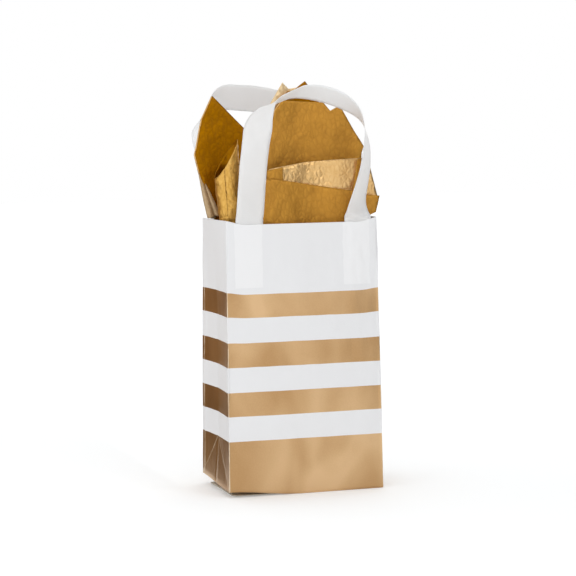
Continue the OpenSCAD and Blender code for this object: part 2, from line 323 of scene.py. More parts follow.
def handle_material():
    """Soft white film strip, faintly ribbed along its length by the extruder."""
    s = Shader("handle_film", IOR=1.46, Roughness=0.45, Subsurface_Weight=0.3, Subsurface_Radius=(1, 1, 1),
               Subsurface_Scale=0.006)
    haze = s.spread(s.noise(45.0, 3.0), 0.3, 0.7)
    normal = s.bump(s.noise(1500.0, 2.0), 0.01 * MM, s.bump(s.noise(70.0, 2.0), 0.25 * MM))
    return s.set(Base_Color=s.mix(haze, HANDLE_WHITE, HANDLE_HAZE), Normal=normal)


def tissue_material(name, tones, metallic, roughness, relief):
    """One side of gold tissue: fine crinkles, long soft creases and paper fibre, darkened along the crinkles'
    edges and in the soft creases as painted shade.
    """
    s = Shader(name, IOR=1.45, Specular_IOR_Level=0.25)
    lit, crease_shade = tones
    fibre = s.noise(420.0, 4.0, (1, 1, 0.35))
    crinkle = s.cells(260.0, (1, 1, 0.75), "DISTANCE_TO_EDGE")
    facet = s.cells(110.0, (1, 1, 0.7))
    soft = s.spread(s.noise(38.0, 4.0, (1, 1, 0.7), 0.5), 0.3, 0.7)
    # Painted shade: the colour runs from the crease tone to the lit tone with the soft creases and fibre, and
    # is darker along the crinkles' edges
    tone = s.math("MULTIPLY", s.math("ADD", soft, s.spread(fibre, 0.3, 0.7)), 0.38)
    tone = s.math("ADD", tone, s.spread(crinkle, 0.0, 0.22, 0.0, 0.28), clamp=True)
    normal = s.bump(fibre, 0.10 * MM * relief)
    normal = s.bump(s.spread(crinkle, 0.0, 0.35), 0.16 * MM * relief, normal)
    normal = s.bump(facet, 0.35 * MM * max(0.0, relief - 0.5), normal)
    return s.set(
        Base_Color=s.mix(tone, crease_shade, lit),
        Metallic=s.spread(fibre, 0.3, 0.7, metallic * 0.8, metallic),
        Roughness=s.spread(soft, 0.0, 1.0, roughness - 0.05, roughness + 0.08),
        Normal=normal,
    )


def board_material():
    """Grey-white paperboard with flecks and fibre."""
    s = Shader("board", Roughness=0.85, IOR=1.45)
    fibre = s.spread(s.noise(500.0, 5.0, (1, 0.3, 1)), 0.3, 0.7)
    fleck = s.spread(s.noise(1300.0, 2.0), 0.66, 0.72)
    grey = s.mix(fibre, BOARD_GREY, BOARD_FIBRE)
    return s.set(
        Base_Color=s.mix(s.math("MULTIPLY", fleck, 0.6), grey, BOARD_FLECK),
        Normal=s.bump(fibre, 0.05 * MM),
    )


# ---- Mesh helpers ----------------------------------------------------------------


def smoothstep(t):
    t = min(1.0, max(0.0, t))
    return t * t * (3 - 2 * t)


def wave_noise(x, z, size, seed):
    """Soft noise from -1 to 1 with features of about size."""
    return noise.noise(Vector((x / size, z / size, seed)))


def crumple(x, z, size, seed):
    """Facets of paper: 0 on the ridges between cells, rising to about 1 inside them."""
    near = noise.voronoi(Vector((x / size, z / size, seed)))[0]
    return near[1] - near[0]


def make_object(name, points, faces, materials):
    """A smooth-shaded object in the scene, with its materials."""
    mesh = bpy.data.meshes.new(name)
    mesh.from_pydata([tuple(p) for p in points], [], faces)
    mesh.update()
    for m in materials:
        mesh.materials.append(m)
    made = bpy.data.objects.new(name, mesh)
    bpy.context.scene.collection.objects.link(made)
    mesh.polygons.foreach_set("use_smooth", [True] * len(mesh.polygons))
    return made


def grid_faces(rows, columns, closed=False):
    """Quads of a grid of points listed row by row."""
    faces = []
    for r in range(rows - 1):
        for c in range(columns if closed else columns - 1):
            d = (c + 1) % columns
            faces.append((r * columns + c, r * columns + d, (r + 1) * columns + d, (r + 1) * columns + c))
    return faces


def thicken(obj, thickness, offset=-1.0, inner=0):
    """Gives a sheet its real thickness; its inner side takes the material inner places further on."""
    solid = obj.modifiers.new("thickness", "SOLIDIFY")
    solid.thickness = thickness
    solid.offset = offset
    solid.material_offset = inner
    apply_modifiers(obj)


def apply_modifiers(obj):
    """Keeps the mesh that the modifiers make, and removes them."""
    graph = bpy.context.evaluated_depsgraph_get()
    mesh = bpy.data.meshes.new_from_object(obj.evaluated_get(graph))
    obj.modifiers.clear()
    obj.data = mesh


def half_width(z):
    return BASE_W + (MOUTH_W - BASE_W) * z / BAG_H


def half_depth(z):
    return BASE_D + (MOUTH_D - BASE_D) * z / BAG_H


# ---- The film shell ----------------------------------------------------------------

SHELL_STEP = 1.9 * MM
PANEL_BULGE = 1.3 * MM
RIM_CURL = 0.25 * MM
# How far the handle ends welded inside push the film out, beside the left and the right leg
TAB_SWELL_LEFT = 0.12 * MM
TAB_SWELL_RIGHT = 0.5 * MM
SLACK = 0.55 * MM
WRINKLE = 0.16 * MM


def shell_columns():
    """(x share, y share, outward x, outward y) of places round the bag, from the back middle by the left."""
    wide, deep, turn = round(2 * BASE_W / SHELL_STEP), 2 * round(BASE_D / SHELL_STEP), 5
    places = []

    def side(ax, ay, bx, by, nx, ny, count):
        for i in range(count + 1):
            t = i / count
            places.append((ax + (bx - ax) * t, ay + (by - ay) * t, nx, ny))

    def corner(x, y, start):
        for i in range(1, turn):
            a = start + math.pi / 2 * i / turn
            places.append((x, y, math.cos(a), math.sin(a)))

    half = wide // 2
    side(0, 1, -1, 1, 0, 1, half)
    corner(-1, 1, math.pi / 2)
    side(-1, 1, -1, -1, -1, 0, deep)
    corner(-1, -1, math.pi)
    side(-1, -1, 1, -1, 0, -1, wide)
    corner(1, -1, 1.5 * math.pi)
    side(1, -1, 1, 1, 1, 0, deep)
    corner(1, 1, 0)
    side(1, 1, 0, 1, 0, 1, half)
    return places


def gusset_in(x_share, y_share, z):
    """How far a gusset lies inside the bag's side: a middle crease that splits round the bottom triangle."""
    edge = 1 - abs(y_share)
    z = max(0.0, z - bottom_lift(x_share * BASE_W, y_share * BASE_D))
    low = min(z / APEX_Z, 1.0)
    inside = CREASE_IN * (edge if edge < low else low)
    triangle = smoothstep((low - edge) * -6)
    inside += 0.5 * MM * triangle * max(0.0, 1 - abs(y_share) * 14)
    if x_share < 0:
        inside -= 0.5 * MM * math.exp(-(((y_share - BACK_FOLD) / 0.06) ** 2)) * smoothstep(z / (20 * MM))
    opened = smoothstep((z - 0.62 * BAG_H) / (0.38 * BAG_H))
    return inside * (1 - opened) - 1.4 * MM * opened * (1 - y_share ** 2)


def film_sag(x, y, nx, ny, z):
    """Outward swell, slack and wrinkles of the film."""
    share = z / BAG_H
    if abs(ny) > 0.5:
        flat = 1 - (x / BASE_W) ** 2
        out = PANEL_BULGE * flat * math.sin(math.pi * min(1.0, share * 1.02)) * (0.8 + 0.4 * share)
        off_leg = (abs(x) - LEG_X) / (9 * MM)
        near_tab = math.exp(-(off_leg ** 2)) * smoothstep((z - TAB_Z + 8 * MM) / (16 * MM))
        swell = TAB_SWELL_RIGHT if x > 0 else TAB_SWELL_LEFT
        out += swell * near_tab * (1 + wave_noise(x, z * 0.25, 3.5 * MM, 11.0 + ny))
    else:
        out = 0.0
    along = x if abs(ny) > 0.5 else y
    calm = smoothstep(share * 7) * smoothstep((1 - share) * 9)
    out += SLACK * calm * wave_noise(along, z * 0.6, 34 * MM, 3.0 + 2 * nx + ny)
    out += WRINKLE * calm * wave_noise(along, z * 0.4, 11 * MM, 7.0 + 2 * nx + ny)
    return out


def bottom_lift(x, y):
    """How far the bottom's left edge curls up off the floor."""
    left = smoothstep((-x - BASE_W + RAISED_REACH) / RAISED_REACH)
    back = smoothstep((y + BASE_D) / (2 * BASE_D))
    return left * (RAISED_FRONT_LEFT + (RAISED_BACK_LEFT - RAISED_FRONT_LEFT) * back)


def shell_point(place, z, inset):
    """A point of the film, inset from its outer face."""
    ax, ay, nx, ny = place
    w, d = half_width(z) - CORNER_R - inset, half_depth(z) - CORNER_R - inset
    x, y = ax * w + nx * CORNER_R, ay * d + ny * CORNER_R
    out = film_sag(x, y, nx, ny, z)
    if abs(nx) == 1:
        out -= gusset_in(ax, ay, z)
    x, y = x + nx * out, y + ny * out
    held = max(0.0, 1 - z / (30 * MM)) ** 2
    return Vector((x, y, z + bottom_lift(x, y) * held - rim_dip(x, ny, z)))


def rim_dip(x, ny, z):
    """How far the wide sides' film hangs below its corners towards the rim."""
    if abs(ny) < 0.5:
        return 0.0
    return RIM_DIP * smoothstep((BASE_W - abs(x)) / (17 * MM)) * smoothstep((z / BAG_H - 0.45) / 0.55)


def film_shell(outer, inner):
    """The bag's film as one tube, turned over at the rim into its hem."""
    places = shell_columns()
    count = round((BAG_H - RIM_CURL) / SHELL_STEP)
    # Heights and how far in each row lies: the turned-in foot, the wall, the rim's curl, then the hem
    rows = [(0.12 * MM, 1.2 * MM), (0.02 * MM, 0.5 * MM)]
    rows += [((BAG_H - RIM_CURL) * (0.002 + 0.998 * i / count), 0.0) for i in range(count + 1)]
    rows += [(BAG_H - RIM_CURL * 0.3, RIM_CURL * 0.3), (BAG_H, RIM_CURL * 1.0)]
    rows += [(BAG_H - RIM_CURL * 0.3, RIM_CURL * 1.7)]
    hem_rows = round((BAG_H - HEM_Z) / (2.5 * MM))
    for i in range(hem_rows + 1):
        rows.append((BAG_H - RIM_CURL - (BAG_H - RIM_CURL - HEM_Z) * i / hem_rows, 2 * RIM_CURL))
    points, lengths, travelled = [], [], 0.0
    for k, (z, inset) in enumerate(rows):
        ring = [shell_point(p, z, inset) for p in places]
        if k:
            travelled += abs(z - rows[k - 1][0])
        points += ring
        lengths.append(travelled)
    made = make_object("film_bag", points, grid_faces(len(rows), len(places)), [outer, inner])
    set_film_uv(made, places, lengths)
    weld(made, 0.02 * MM)
    recalculate_outward(made)
    thicken(made, FILM, inner=1)
    return made


def set_film_uv(obj, places, lengths):
    """Lays the film flat: across it in metres from the back middle, and up it in metres from the bottom."""
    around = [0.0]
    for a, b in zip(places, places[1:]):
        step = math.hypot((b[0] - a[0]) * BASE_W, (b[1] - a[1]) * BASE_D)
        around.append(around[-1] + (step or CORNER_R * 0.3))
    layer = obj.data.uv_layers.new(name="film")
    columns = len(places)
    for loop in obj.data.loops:
        row, column = divmod(loop.vertex_index, columns)
        layer.data[loop.index].uv = (around[column], lengths[row])


def weld(obj, distance):
    """Joins points closer together than distance."""
    bm = bmesh.new()
    bm.from_mesh(obj.data)
    bmesh.ops.remove_doubles(bm, verts=bm.verts, dist=distance)
    bm.to_mesh(obj.data)
    bm.free()


def recalculate_outward(obj):
    """Flips the whole tube if its wall, below the hem, mostly faces the bag's middle."""
    votes = 0.0
    for p in obj.data.polygons:
        if p.center.z < HEM_Z:
            votes += p.normal.dot(Vector((p.center.x, p.center.y, 0)))
    if votes < 0:
        obj.data.flip_normals()


def surface_strip(name, rows, columns, place, material, thickness):
    """A sheet from place(column share, row share), with its own thickness."""
    points = [place(c / (columns - 1), r / (rows - 1)) for r in range(rows) for c in range(columns)]
    made = make_object(name, points, grid_faces(rows, columns), [material])
    thicken(made, thickness, 0.0)
    return made


def back_seam_piece(material):
    """The lap of film welded up the middle of the back, inside it."""
    low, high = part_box("back_seam")
    width = high.x - low.x
    inset = 0.32 * MM

    def place(u, v):
        x = (u - 0.5) * width
        z = low.z + 0.4 * MM + (high.z - low.z - 0.8 * MM) * v
        y = half_depth(z) - inset + film_sag(x, 0, 0, 1, z)
        return Vector((x, y, z))

    return surface_strip("back_seam_lap", 90, 6, place, material, FILM)


def bottom_piece(node, material, layer, corners):
    """One folded-in sheet of the bottom between its four corners, curling up with the left edge."""
    a, b, c, d = corners
    rows, columns = 25, 41

    def place(u, v):
        low, high = a.lerp(b, u), d.lerp(c, u)
        x, y = low.lerp(high, v)
        slack = 0.05 * MM * wave_noise(x, y, 18 * MM, 20.0 + layer)
        return Vector((x, y, (0.10 + 0.16 * layer) * MM + bottom_lift(x, y) + abs(slack)))

    return surface_strip(node + "_film", rows, columns, place, material, FILM * 0.7)


def bottom_pieces(material):
    """Two flaps folded in from the front and back, over two ears from the sides."""
    x, y = BASE_W - 1.3 * MM, BASE_D - 1.3 * MM
    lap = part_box("front_bottom_flap")[1].y
    made = []
    for node, layer, near, far in (("front_bottom_flap", 0, -y, lap), ("back_bottom_flap", 1, y, -lap)):
        corners = [Vector((-x, near)), Vector((x, near)), Vector((x, far)), Vector((-x, far))]
        made.append((node, bottom_piece(node, material, layer, corners)))
    for node, side in (("left_bottom_ear", -1), ("right_bottom_ear", 1)):
        tip, edge = side * (x - y), side * x
        corners = [Vector((edge, -y)), Vector((tip, -0.4 * MM)), Vector((tip, 0.4 * MM)), Vector((edge, y))]
        made.append((node, bottom_piece(node, material, 2, corners)))
    return made


# ---- Handles -------------------------------------------------------------------------

# Stations along a loop: place across the bag as a share of the leg's, rise as a share of
# the loop's, then how far the strip has turned and how far its front edge is lifted.
FRONT_STATIONS = (
    (-0.97, 0.00, 0, 0), (-0.95, 0.08, 0, 0), (-0.90, 0.40, 0, 0), (-0.84, 0.63, -5, 0),
    (-0.78, 0.78, -45, 0), (-0.65, 0.88, -75, 5), (-0.46, 0.93, -98, 16), (-0.20, 0.98, -92, 22),
    (0.03, 1.00, -90, 30), (0.38, 0.98, -90, 34), (0.75, 0.92, -90, 30), (1.02, 0.83, -97, 15),
    (1.15, 0.72, -108, 0), (1.20, 0.57, -122, 0), (1.18, 0.40, -131, 0), (1.11, 0.25, -137, 0),
    (1.04, 0.12, -145, 0), (1.03, 0.04, -160, 0), (1.04, 0.00, -180, 0),
)
BACK_STATIONS = (
    (-1.00, 0.00, 0, 0), (-1.02, 0.08, 0, 0), (-1.07, 0.35, -12, 0), (-1.15, 0.58, -30, 0),
    (-1.20, 0.78, -52, 8), (-1.08, 0.94, -80, 30), (-0.78, 1.03, -92, 46), (-0.40, 1.03, -90, 52),
    (0.00, 1.01, -90, 52), (0.42, 0.96, -92, 46), (0.82, 0.86, -100, 26), (1.06, 0.70, -122, 8),
    (1.12, 0.50, -146, 0), (1.05, 0.25, -168, 0), (1.00, 0.08, -180, 0), (1.00, 0.00, -180, 0),
)
LOOP_H = 98 * MM
RIM_GAP = 0.7 * MM
FRONT_LEAN = math.radians(3)
BACK_LEAN = math.radians(20)
LOOP_RINGS = 168
STRIP_COLUMNS = 9
TAB_RINGS = 26
# Between a welded end and the hem beside it
TAB_GAP = 0.12 * MM


def catmull(a, b, c, d, t):
    """Point on a smooth curve through four neighbouring stations."""
    return tuple(
        0.5 * (2 * q + (r - p) * t + (2 * p - 5 * q + 4 * r - s) * t * t + (3 * q - p - 3 * r + s) * t ** 3)
        for p, q, r, s in zip(a, b, c, d)
    )


def station(stations, u):
    """The loop's station at a share u of the way along it."""
    last = len(stations) - 1
    i = min(int(u * last), last - 1)
    around = (stations[max(i - 1, 0)], stations[i], stations[i + 1], stations[min(i + 2, last)])
    return catmull(*around, u * last - i)


def loop_sections(stations, side, lean):
    """(middle, direction across) of the strip along a loop, in the frame. side is -1 at the front."""
    rim_y = side * (MOUTH_D - FILM)
    turn = Matrix.Rotation(-side * lean, 3, "X")
    sections = []
    for k in range(LOOP_RINGS + 1):
        x, rise, yaw, pitch = station(stations, k / LOOP_RINGS)
        yaw, pitch = math.radians(yaw), math.radians(pitch)
        middle = Vector((x * LEG_X, -side * (FILM + HANDLE_T / 2), RIM_GAP + rise * (LOOP_H - RIM_GAP)))
        across = Vector((math.cos(yaw) * math.cos(pitch), math.sin(yaw) * math.cos(pitch), math.sin(pitch)))
        sections.append((turn @ middle + Vector((0, rim_y, BAG_H)), turn @ across))
    return sections


def tab_sections(x, side, across, upward):
    """The strip's welded end inside the mouth."""
    sections = []
    for k in range(TAB_RINGS):
        z = TAB_Z + (BAG_H - TAB_Z) * k / TAB_RINGS
        hem_face = half_depth(z) - 2 * RIM_CURL - FILM
        y = side * (hem_face - HANDLE_T / 2 - TAB_GAP + film_sag(x, 0, 0, side, z))
        sections.append((Vector((x, y, z)), across))
    return sections if upward else sections[::-1]


def handle(name, stations, side, lean, material):
    """One strip of film: up from its left welded end, over the loop and down to its right one."""
    loop = loop_sections(stations, side, lean)
    sections = tab_sections(stations[0][0] * LEG_X, side, Vector((1, 0, 0)), True) + loop
    sections += tab_sections(stations[-1][0] * LEG_X, side, Vector((-1, 0, 0)), False)
    points = []
    for middle, across in sections:
        for c in range(STRIP_COLUMNS):
            u = 2 * c / (STRIP_COLUMNS - 1) - 1
            points.append(middle + across * (u * HANDLE_W / 2))
    made = make_object(name, points, grid_faces(len(sections), STRIP_COLUMNS), [material])
    thicken(made, HANDLE_T, 0.0)
    return made


# ---- Tissue -----------------------------------------------------------------------------

LEAF = 0.12 * MM
# Taken off crumple(), so that crumples bend a sheet both ways
CRUMPLE_ZERO = 0.35
SHEET_STEP = 2.2 * MM


def resampled(outline, step):
    """The outline with points added along its edges."""
    points = []
    for a, b in zip(outline, outline[1:] + outline[:1]):
        count = max(1, round((b - a).length / step))
        points += [a.lerp(b, i / count) for i in range(count)]
    return points


def inside(point, polygon):
    """Whether a flat point lies inside the polygon."""
    x, y = point
    found = False
    for a, b in zip(polygon, polygon[1:] + polygon[:1]):
        if (a.y > y) != (b.y > y) and x < (b.x - a.x) * (y - a.y) / (b.y - a.y) + a.x:
            found = not found
    return found


def flat_sheet(outline, step, seed):
    """Points and triangles of a flat sheet, jittered so that its creases don't follow a grid."""
    draw = random.Random(seed)
    border = resampled(outline, step)
    low_x, high_x = min(p.x for p in border), max(p.x for p in border)
    low_y, high_y = min(p.y for p in border), max(p.y for p in border)
    points = list(border)
    for j in range(int((high_y - low_y) / step) + 1):
        for i in range(int((high_x - low_x) / step) + 1):
            p = Vector((low_x + (i + 0.5 + draw.uniform(-0.3, 0.3)) * step,
                        low_y + (j + 0.5 + draw.uniform(-0.3, 0.3)) * step))
            if inside(p, border) and min((p - q).length for q in near_points(border, p, step)) > 0.45 * step:
                points.append(p)
    ring = list(range(len(border)))
    edges = [(i, (i + 1) % len(ring)) for i in ring]
    out = geometry.delaunay_2d_cdt(points, edges, [ring], 1, 1e-7)
    return out[0], out[2]


def near_points(border, p, step):
    """The border's points about a step from p, or one point far away."""
    found = [q for q in border if abs(q.x - p.x) < step and abs(q.y - p.y) < step]
    return found or [border[0] + Vector((1, 1))]


def shares(outline):
    """An outline of (share of half the mouth, millimetres above the rim) in metres."""
    return [Vector((x * MOUTH_W, BAG_H + z * MM)) for x, z in outline]


def common_wave(x):
    """The slow bend that neighbouring sheets share, so that one slides up past the next."""
    return 2.6 * MM * math.sin(x / (21 * MM) + 0.6) + 1.0 * MM * math.sin(x / (9 * MM))


def leaf_points(flat, y, side, seed, depth, sizes, lean):
    """Bends a flat leaf into space. sizes are (facet size, height) pairs of its crumples, in metres."""
    foot = BAG_H - TUCK
    points = []
    for p in flat:
        rise = p.y - foot
        apart = depth * math.sqrt(min(1.0, max(0.0, rise / (12 * MM))))
        bend = common_wave(p.x) + lean * smoothstep((p.y - BAG_H) / (90 * MM))
        fine = sum(
            h * (crumple(p.x, p.y * 0.8, size, seed + n + 20 * side) - CRUMPLE_ZERO)
            for n, (size, h) in enumerate(sizes)
        )
        slow = 1.1 * MM * wave_noise(p.x, p.y, 26 * MM, seed + 9)
        bend += (fine + slow) * smoothstep(rise / (25 * MM))
        points.append(Vector((p.x, y + side * apart + bend, p.y)))
    return points


# The tubes that the back left sheet's edge curls into: the middle of the foot and of the head as (mm across
# the bag, mm behind the sheet or in front if negative, mm above the rim), then the radius in mm and the turns
CURLS = (
    ((-60.7, -6.0, 0.5), (-69.0, -2.4, 36.0), 3.9, 1.6),
    ((-56.0, -8.0, 2.0), (-65.2, -3.6, 29.0), 3.0, 1.4),
)


def curled_edges(y):
    """Points and faces of the sheet's left edge, rolled up on itself into two thin tubes above the rim."""
    points, faces = [], []
    rows, columns = 22, 34
    for foot, head, radius, turns in CURLS:
        grid = []
        low, high = (Vector((x * MM, y + dy * MM, BAG_H + z * MM)) for x, dy, z in (foot, head))
        for r in range(rows):
            v = r / (rows - 1)
            centre = low.lerp(high, v)
            for c in range(columns):
                turn = c / (columns - 1)
                angle = math.radians(70) - turn * turns * 2 * math.pi
                wide = radius * MM * (1 - 0.45 * turn) * (1 - 0.82 * v ** 1.6)
                wide += 0.25 * MM * (crumple(turn * 30 * MM, centre.z, 6 * MM, radius) - CRUMPLE_ZERO)
                grid.append(centre + Vector((math.cos(angle) * wide, math.sin(angle) * wide, 0)))
        faces += [tuple(len(points) + i for i in reversed(f)) for f in grid_faces(rows, columns)]
        points += grid
    return points, faces


# The tucked corner, an amber patch that darkens the bright band's left end as its painted shade: its left edge
# and width as shares of half the mouth, then in mm its foot above the rim, its height at the left and what it
# gains towards the right
CORNER_LEFT, CORNER_WIDTH = -0.42, 0.22
CORNER_FOOT, CORNER_H, CORNER_GAIN = 12, 25.5, 2.5


def tucked_corner_shade(y):
    """Points and faces of a corner of the front sheet that is tucked down between its two leaves, darkening
    the bright band's left end as painted shade.
    """
    rows, columns = 18, 20
    points = []
    for r in range(rows):
        for c in range(columns):
            x = MOUTH_W * (CORNER_LEFT + CORNER_WIDTH * c / (columns - 1))
            z = (CORNER_FOOT + (CORNER_H + CORNER_GAIN * c / (columns - 1)) * r / (rows - 1)) * MM
            off = 0.5 * MM * crumple(x, z, 7 * MM, 92) + 0.6 * MM * wave_noise(x, z, 12 * MM, 93)
            points.append(Vector((x, y + common_wave(x) - 0.7 * MM + off, BAG_H + z)))
    return points, grid_faces(rows, columns)


EXTRAS = {"back_left": curled_edges, "front_fold": tucked_corner_shade}
# The first material of a sheet's extra faces
EXTRA_SLOT = 2


def doubled_sheet(name, front, back, y, seed, materials, sizes, extra, lean, depth=1.9 * MM):
    """A sheet folded at its foot, with a front and a back leaf, and the points and faces of any extra.

    materials are the outer and the inner side of the leaves, then those of the extra.
    """
    points, faces = [], []
    for side, outline in ((-1, front), (1, back)):
        flat, triangles = flat_sheet(shares(outline), SHEET_STEP, seed + side)
        start = len(points)
        points += leaf_points(flat, y, side, seed, depth, sizes, lean)
        for t in triangles:
            a, b, c = (flat[i] for i in t)
            turns_left = (b - a).cross(c - a) > 0
            faces.append(tuple(start + i for i in (t if turns_left == (side < 0) else t[::-1])))
    leaf_faces = len(faces)
    faces += [tuple(len(points) + i for i in f) for f in extra[1]]
    points += extra[0]
    made = make_object(name, points, faces, materials)
    for polygon in list(made.data.polygons)[leaf_faces:]:
        polygon.material_index = EXTRA_SLOT
    weld(made, 0.05 * MM)
    thicken(made, LEAF, 0.0, inner=1)
    return made


# Outlines of the leaves, as (share of half the mouth, mm above the rim)
BACK_LEFT = [
    (-0.72, -110), (-0.46, -110), (-0.42, 0), (-0.50, 69), (-0.94, 96),
    (-1.08, 78), (-1.18, 50), (-1.12, 34), (-0.93, 2),
]
MAIN = [
    (-0.30, -110), (0.55, -110), (0.90, 0), (0.96, 50), (0.99, 55), (0.84, 70), (0.71, 84), (0.65, 86),
    (0.56, 83), (0.47, 90), (0.13, 91), (-0.09, 92), (-0.20, 84), (-0.45, 36), (-0.50, 0),
]
FRONT_FOLD_FRONT = [
    (-0.25, -110), (0.50, -110), (0.80, 0), (0.86, 46), (0.80, 45.5), (0.73, 20.5), (-0.17, 29.5),
    (-0.35, 31), (-0.55, 31), (-0.55, 0),
]
FRONT_FOLD_BACK = [
    (-0.25, -110), (0.50, -110), (0.80, 0), (0.86, 46), (0.50, 45), (0.13, 43.5), (-0.35, 39),
    (-0.55, 33), (-0.55, 0),
]
RIGHT_FRONT = [
    (0.55, -110), (0.72, -110), (0.96, 0), (1.08, 3), (1.13, 16), (0.95, 17), (0.80, 16), (0.72, 0),
]
RIGHT_BACK = [
    (0.55, -110), (0.72, -110), (0.96, 0), (1.08, 3), (1.12, 16), (1.02, 40), (0.88, 24), (0.72, 0),
]
PEAKS_FRONT = [
    (-0.10, -110), (0.35, -110), (0.40, 0), (0.45, 95), (0.31, 104), (0.27, 107), (0.18, 103), (0.10, 99),
    (0.02, 99), (-0.16, 86), (-0.30, 0),
]
PEAKS_BACK = [
    (-0.10, -110), (0.35, -110), (0.40, 0), (0.45, 93), (0.31, 102), (0.27, 104), (0.18, 102), (0.06, 101),
    (-0.03, 106), (-0.20, 90), (-0.30, 0),
]


def middle_y(node):
    """Where a CAD node's box has its middle, front to back."""
    low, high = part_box(node)
    return (low.y + high.y) / 2


# The roll: its foot as a share of half the mouth, its turns and its lean, and in mm its radius at the foot,
# what it gains up to the lip and along its turns, and the height and slant of its lip above the rim
ROLL_FOOT = -0.695
ROLL_TURNS = 1.25
ROLL_LEAN = math.tan(math.radians(4))
ROLL_START = math.radians(150)
ROLL_R, ROLL_FLARE, ROLL_SPIRAL = 5.8, 4.0, 1.2
LIP_H, LIP_SLANT = 47, 15


def rolled_sheet(materials):
    """A sheet wound into a cornet that opens upwards, its lip slanting up to the right."""
    foot = Vector((ROLL_FOOT * MOUTH_W, middle_y("tissue_left_roll"), BAG_H - TUCK))
    rows, columns = 78, 96
    points = []
    for r in range(rows):
        v = r / (rows - 1)
        for c in range(columns):
            turn = c / (columns - 1)
            angle = ROLL_START + turn * ROLL_TURNS * 2 * math.pi
            radius = (ROLL_R + ROLL_FLARE * v + ROLL_SPIRAL * turn) * MM
            lip = BAG_H + (LIP_H + LIP_SLANT * math.cos(angle)) * MM
            z = foot.z + (lip - foot.z) * v
            swell = 1.3 * MM * (crumple(turn * 60 * MM, z, 11 * MM, 5.0) - CRUMPLE_ZERO)
            swell += 0.6 * MM * (crumple(turn * 60 * MM, z, 5 * MM, 6.0) - CRUMPLE_ZERO)
            radius += swell * smoothstep(v * 5)
            x = foot.x - ROLL_LEAN * (z - foot.z) + radius * math.cos(angle)
            points.append(Vector((x, foot.y + radius * math.sin(angle), z)))
    made = make_object("tissue_left_roll_paper", points, grid_faces(rows, columns), materials)
    thicken(made, LEAF, 0.0, inner=1)
    return made


def polygon_area(points):
    return abs(sum(a.x * b.y - b.x * a.y for a, b in zip(points, points[1:] + points[:1]))) / 2


def doubled_flat(front, back):
    """(width, length) and area of a doubled sheet's cut, opened out at the fold along its foot."""
    leaves = [shares(front), shares(back)]
    across = [p.x for leaf in leaves for p in leaf]
    length = sum(max(p.y for p in leaf) - min(p.y for p in leaf) for leaf in leaves)
    return (max(across) - min(across), length), sum(polygon_area(leaf) for leaf in leaves)


def mesh_area(obj):
    """Area of one side of a thin piece."""
    return sum(p.area for p in obj.data.polygons) / 2


def tissue_pieces():
    """Each sheet with the body it lifts with and its flat cut."""
    bright = tissue_material("tissue_bright", TISSUE_BRIGHT, 0.85, 0.33, 1.4)
    rolled = tissue_material("tissue_rolled", TISSUE_ROLL, 0.9, 0.33, 1.4)
    amber = tissue_material("tissue_amber", TISSUE_AMBER, 0.7, 0.5, 0.85)
    # The amber side in painted shade
    deep = tissue_material("tissue_amber_painted_shade", TISSUE_AMBER_SHADED, 0.95, 0.5, 0.65)
    pale = tissue_material("tissue_pale", TISSUE_PALE, 0.4, 0.45, 0.8)
    # The peaks' light side, as a painted highlight
    highlight_gold = tissue_material("tissue_painted_highlight", TISSUE_HIGHLIGHT_GOLD, 0.6, 0.4, 1.0)
    # (facet size, height) of the crumples
    calm = ((20 * MM, 0.9 * MM), (8 * MM, 0.45 * MM))
    lively = ((13 * MM, 1.0 * MM), (5 * MM, 0.45 * MM))
    # Name, front and back leaf, seed, materials, crumples, and how far the head leans back
    doubled = (
        ("back_left", BACK_LEFT, BACK_LEFT, 31, [deep, bright, pale, deep], calm, 0.0),
        ("main", MAIN, MAIN, 61, [amber, bright], calm, 2.0 * MM),
        ("front_fold", FRONT_FOLD_FRONT, FRONT_FOLD_BACK, 91, [amber, bright, amber, amber], lively, 0.0),
        ("right", RIGHT_FRONT, RIGHT_BACK, 121, [amber, bright], lively, 0.0),
        ("back_peaks", PEAKS_FRONT, PEAKS_BACK, 151, [deep, highlight_gold], lively, 0.0),
    )
    made = []
    for name, front, back, seed, sides, sizes, lean in doubled:
        node = "tissue_" + name
        extra = EXTRAS[name](middle_y(node)) if name in EXTRAS else ([], [])
        piece = doubled_sheet(node + "_paper", front, back, middle_y(node), seed, sides, sizes, extra, lean)
        made.append((piece, node, "sheet_" + name, *doubled_flat(front, back)))
    roll = rolled_sheet([rolled, deep])
    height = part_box("tissue_left_roll")[1].z - (BAG_H - TUCK)
    made.append((roll, "tissue_left_roll", "sheet_left_roll", (mesh_area(roll) / height, height), None))
    return made


# ---- Base board ------------------------------------------------------------------------------


BOARD_CLIP = 3 * MM
BOARD_BOW = 0.5 * MM


def base_board(material):
    """A board with clipped corners, bowed a little where it has lain folded."""
    w, d = board_high.x, board_high.y
    rows, columns = 33, 57

    def place(u, v):
        x, y = (2 * u - 1) * w, (2 * v - 1) * d
        over = abs(x) - w + abs(y) - d + BOARD_CLIP
        if over > 0:
            x -= math.copysign(over / 2, x)
            y -= math.copysign(over / 2, y)
        middle = (board_low.z + board_high.z) / 2
        return Vector((x, y, middle + BOARD_BOW * (1 - (y / d) ** 2)))

    return surface_strip("base_board_card", rows, columns, place, material, board_high.z - board_low.z)


# ---- Stage -------------------------------------------------------------------------------------

# Fitted to the photo. Places are in metres and the focal length is in mm
CAMERA_AZIMUTH = math.radians(18.02)
CAMERA_ELEVATION = math.radians(4.64)
CAMERA_ROLL = math.radians(0.772)
CAMERA_DISTANCE = 1.62145
CAMERA_ACROSS = -0.00138
CAMERA_RISE = 0.15303
CAMERA_LIFT = 0.0043
FOCAL_LENGTH = 126.97


